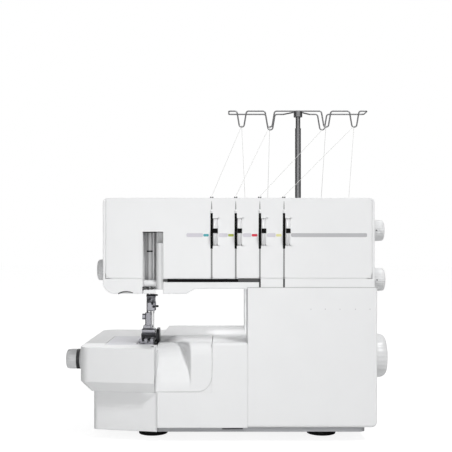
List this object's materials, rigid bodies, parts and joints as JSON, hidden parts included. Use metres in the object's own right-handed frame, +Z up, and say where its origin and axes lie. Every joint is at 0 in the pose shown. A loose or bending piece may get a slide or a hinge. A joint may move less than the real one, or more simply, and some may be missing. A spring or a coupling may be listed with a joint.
{
  "type": "overlock sewing machine",
  "caption": "Domestic overlock sewing machine with tension thumbwheels, looper cover, slide-off cloth plate, side dials, handwheel and a thread stand with a wire tree.",
  "frame": {"origin": "centre of the footprint of the whole machine, on the surface it stands on", "axes": "+Z up, +X to the right as the user faces it, +Y towards the back"},
  "size_m": [0.35, 0.27, 0.3683],
  "materials": {
    "white_gloss": "glossy moulded white",
    "white_dial": "glossy moulded white with ribs",
    "grey_plastic": "satin grey",
    "dark_plastic": "satin black",
    "rubber_black": "matt",
    "plate_steel": "fine ground",
    "bright_steel": "polished",
    "dark_steel": "blackened",
    "cast_frame": "as cast",
    "bronze": "sintered",
    "motor_steel": "satin",
    "thread_white": "spun polyester",
    "lens_clear": "clear"
  },
  "bodies": {
    "machine": {"arm_casing": "white_gloss", "front_panel": "white_gloss", "front_casing": "white_gloss", "rear_casing": "white_gloss", "bed_casing": "white_gloss", "spool_stand": "white_gloss", "base_tray": "grey_plastic", "rubber_feet": "rubber_black", "drive_belt": "rubber_black", "base_screws": "bright_steel", "plate_screws": "bright_steel", "cover_hinge_pin": "bright_steel", "mast_tube": "bright_steel", "presser_spring": "bright_steel", "tension_posts": "bright_steel", "base_frame": "cast_frame", "arm_frame": "cast_frame", "bushes": "bronze", "motor": "motor_steel", "needle_plate": "plate_steel", "lower_knife": "dark_steel", "top_thread_guides": "dark_steel", "thread_cones": "thread_white", "thread_1": "thread_white", "thread_2": "thread_white", "thread_3": "thread_white", "thread_4": "thread_white", "lamp_lens": "lens_clear", "power_inlet": "dark_plastic"},
    "drive_shaft": {"main_shaft": "bright_steel", "handwheel": "white_dial", "drive_pulley": "grey_plastic"},
    "motor_rotor": {"motor_pulley": "dark_steel"},
    "needle_lever": {"needle_lever": "cast_frame"},
    "needle_bar": {"needle_bar": "bright_steel", "needles": "bright_steel", "needle_clamp": "dark_steel", "clamp_screws": "dark_steel"},
    "presser_lifter": {"presser_lifter": "dark_steel"},
    "presser_bar": {"presser_bar": "bright_steel", "presser_foot": "bright_steel", "presser_ankle": "dark_steel"},
    "cloth_plate": {"cloth_plate": "white_gloss"},
    "looper_cover": {"looper_cover": "white_gloss"},
    "upper_looper": {"upper_looper": "bright_steel"},
    "lower_looper": {"lower_looper": "bright_steel"},
    "upper_knife": {"upper_knife": "dark_steel", "upper_knife_arm": "dark_steel"},
    "feed_dogs": {"feed_dogs": "plate_steel"},
    "power_switch": {"power_switch": "dark_plastic"},
    "mast_rod": {"mast_rod": "bright_steel", "thread_tree": "bright_steel"},
    "tension_dial_1": {"tension_dial_1": "white_dial"},
    "tension_dial_2": {"tension_dial_2": "white_dial"},
    "tension_dial_3": {"tension_dial_3": "white_dial"},
    "tension_dial_4": {"tension_dial_4": "white_dial"},
    "stitch_length_dial": {"stitch_length_dial": "white_dial"},
    "differential_dial": {"differential_dial": "white_dial"},
    "pressure_dial": {"pressure_dial": "white_dial"},
    "cutting_width_dial": {"cutting_width_dial": "white_dial"}
  },
  "joints": [
    {"name": "handwheel_turn", "type": "hinge", "parent": "machine", "child": "drive_shaft", "pos_m": [0, -0.044, 0.078], "axis": [1, 0, 0], "continuous": true},
    {"name": "motor_spin", "type": "hinge", "parent": "machine", "child": "motor_rotor", "pos_m": [0, 0.005, 0.05], "axis": [1, 0, 0], "continuous": true},
    {"name": "needle_lever_swing", "type": "hinge", "parent": "machine", "child": "needle_lever", "pos_m": [0, -0.038, 0.186], "axis": [1, 0, 0], "range_deg": [0, 30.7]},
    {"name": "needle_bar_slide", "type": "slide", "parent": "machine", "child": "needle_bar", "axis": [0, 0, 1], "range_m": [-0.022, 0]},
    {"name": "presser_lifter_swing", "type": "hinge", "parent": "machine", "child": "presser_lifter", "pos_m": [0, -0.032, 0.179], "axis": [-1, 0, 0], "range_deg": [0, 12.7]},
    {"name": "presser_bar_slide", "type": "slide", "parent": "machine", "child": "presser_bar", "axis": [0, 0, 1], "range_m": [0, 0.0055], "deforming": ["presser_spring"]},
    {"name": "cloth_plate_slide", "type": "slide", "parent": "machine", "child": "cloth_plate", "axis": [-1, 0, 0], "range_m": [0, 0.085]},
    {"name": "looper_cover_swing", "type": "hinge", "parent": "machine", "child": "looper_cover", "pos_m": [0, -0.119, 0.057], "axis": [1, 0, 0], "range_deg": [0, 85]},
    {"name": "upper_looper_swing", "type": "hinge", "parent": "machine", "child": "upper_looper", "pos_m": [-0.06, 0, 0.045], "axis": [0, 1, 0], "range_deg": [-10, 10]},
    {"name": "lower_looper_swing", "type": "hinge", "parent": "machine", "child": "lower_looper", "pos_m": [-0.1, 0, 0.045], "axis": [0, 1, 0], "range_deg": [-10, 10]},
    {"name": "upper_knife_swing", "type": "hinge", "parent": "machine", "child": "upper_knife", "pos_m": [0, -0.015, 0.082], "axis": [-1, 0, 0], "range_deg": [0, 7]},
    {"name": "feed_slide", "type": "slide", "parent": "machine", "child": "feed_dogs", "axis": [0, 1, 0], "range_m": [-0.002, 0.002]},
    {"name": "power_switch_rock", "type": "hinge", "parent": "machine", "child": "power_switch", "pos_m": [0.1495, 0.008, 0.07], "axis": [0, 1, 0], "range_deg": [-10, 0]},
    {"name": "mast_slide", "type": "slide", "parent": "machine", "child": "mast_rod", "axis": [0, 0, 1], "range_m": [0, 0.15], "deforming": ["thread_1", "thread_2", "thread_3", "thread_4"]},
    {"name": "tension_dial_1_turn", "type": "hinge", "parent": "machine", "child": "tension_dial_1", "pos_m": [0, -0.112, 0.2144], "axis": [1, 0, 0], "range_deg": [-150, 150]},
    {"name": "tension_dial_2_turn", "type": "hinge", "parent": "machine", "child": "tension_dial_2", "pos_m": [0, -0.112, 0.2144], "axis": [1, 0, 0], "range_deg": [-150, 150]},
    {"name": "tension_dial_3_turn", "type": "hinge", "parent": "machine", "child": "tension_dial_3", "pos_m": [0, -0.112, 0.2144], "axis": [1, 0, 0], "range_deg": [-150, 150]},
    {"name": "tension_dial_4_turn", "type": "hinge", "parent": "machine", "child": "tension_dial_4", "pos_m": [0, -0.112, 0.2144], "axis": [1, 0, 0], "range_deg": [-150, 150]},
    {"name": "stitch_length_dial_turn", "type": "hinge", "parent": "machine", "child": "stitch_length_dial", "pos_m": [0, -0.064, 0.217], "axis": [1, 0, 0], "range_deg": [-135, 135]},
    {"name": "differential_dial_turn", "type": "hinge", "parent": "machine", "child": "differential_dial", "pos_m": [0, -0.064, 0.1635], "axis": [1, 0, 0], "range_deg": [-135, 135]},
    {"name": "pressure_dial_turn", "type": "hinge", "parent": "machine", "child": "pressure_dial", "pos_m": [0, -0.064, 0.174], "axis": [1, 0, 0], "range_deg": [-180, 180]},
    {"name": "cutting_width_dial_turn", "type": "hinge", "parent": "machine", "child": "cutting_width_dial", "pos_m": [0, -0.064, 0.077], "axis": [1, 0, 0], "range_deg": [-180, 180]}
  ],
  "couplings": [
    {"joint": "motor_spin", "follows": "handwheel_turn", "ratio": 4},
    {"joint": "needle_bar_slide", "follows": "needle_lever_swing", "m_per_rad": -0.04097},
    {"joint": "presser_bar_slide", "follows": "presser_lifter_swing", "m_per_rad": 0.0248}
  ]
}
